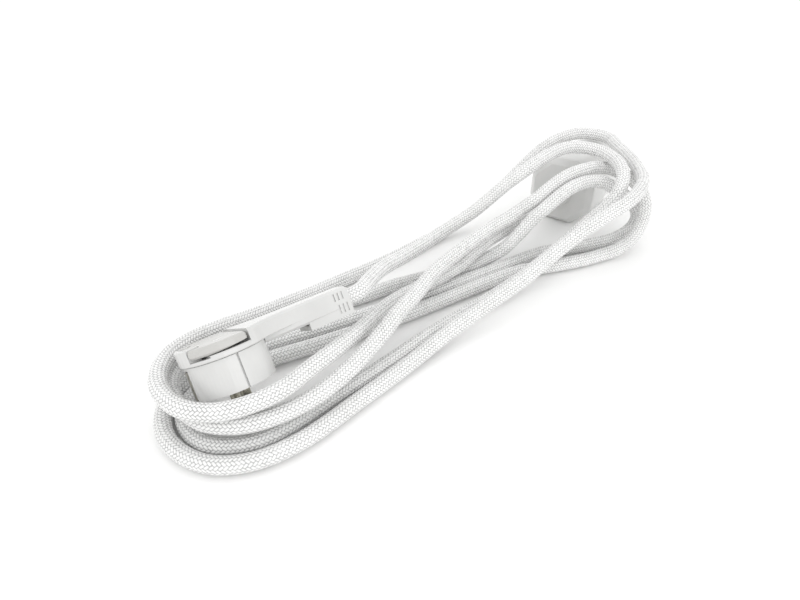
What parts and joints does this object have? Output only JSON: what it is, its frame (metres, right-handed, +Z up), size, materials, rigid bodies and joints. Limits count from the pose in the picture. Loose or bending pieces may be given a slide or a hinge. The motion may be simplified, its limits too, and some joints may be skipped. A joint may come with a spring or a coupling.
{
  "type": "extension cord",
  "caption": "Mains extension lead: earthed plug with a folding pull lever, textile-braided cord in a loose hank, and a round earthed coupler socket.",
  "frame": {"origin": "on the surface it lies on, below the centre of the box round the plug and socket without the cord", "axes": "+X along the hank from the plug to the socket, +Z up, +Y across the hank"},
  "size_m": [0.3774, 0.1193, 0.0622],
  "materials": {
    "shell": "gloss white moulded",
    "lever_plastic": "slightly warmer gloss white",
    "inner_plastic": "matt off-white",
    "braid": "white textile braid",
    "sleeve_rubber": "matt pale grey",
    "nickel_contact": "satin nickel",
    "brass_contact": "drawn brass",
    "screw_steel": "zinc plated",
    "brown_core": "brown insulation",
    "blue_core": "blue insulation",
    "green_core": "green and yellow insulation"
  },
  "bodies": {
    "root": {"plug_base": "shell", "plug_body": "shell", "plug_neck_lid": "shell", "lever_hinge_pin": "screw_steel", "plug_pin_line": "nickel_contact", "plug_pin_neutral": "nickel_contact", "plug_pin_carrier": "inner_plastic", "plug_earth_strip": "nickel_contact", "plug_terminal_screw_line": "brass_contact", "plug_terminal_screw_neutral": "brass_contact", "plug_terminal_screw_earth": "brass_contact", "plug_housing_screw": "screw_steel", "plug_cord_end": "braid", "plug_cord_sleeve": "sleeve_rubber", "plug_cord_clamp": "inner_plastic", "plug_clamp_screw_left": "screw_steel", "plug_clamp_screw_right": "screw_steel", "plug_core_line": "brown_core", "plug_core_neutral": "blue_core", "plug_core_earth": "green_core", "cord": "braid", "socket_grip": "shell", "socket_cup": "shell", "socket_face_plate": "shell", "socket_cord_neck": "shell", "socket_contact_insert": "inner_plastic", "socket_contact_line": "brass_contact", "socket_contact_neutral": "brass_contact", "socket_earth_clip": "nickel_contact", "socket_terminal_screw_line": "brass_contact", "socket_terminal_screw_neutral": "brass_contact", "socket_terminal_screw_earth": "brass_contact", "socket_insert_screw": "screw_steel", "socket_cord_end": "braid", "socket_cord_clamp": "inner_plastic", "socket_clamp_screw_left": "screw_steel", "socket_clamp_screw_right": "screw_steel", "socket_core_line": "brown_core", "socket_core_neutral": "blue_core", "socket_core_earth": "green_core"},
    "lever": {"pull_lever": "lever_plastic"}
  },
  "joints": [
    {"name": "pull_lever_hinge", "type": "hinge", "parent": "root", "child": "lever", "pos_m": [-0.1739, -0.02004, 0.04028], "axis": [0, -0.848, 0.5299], "range_deg": [0, 90]}
  ]
}
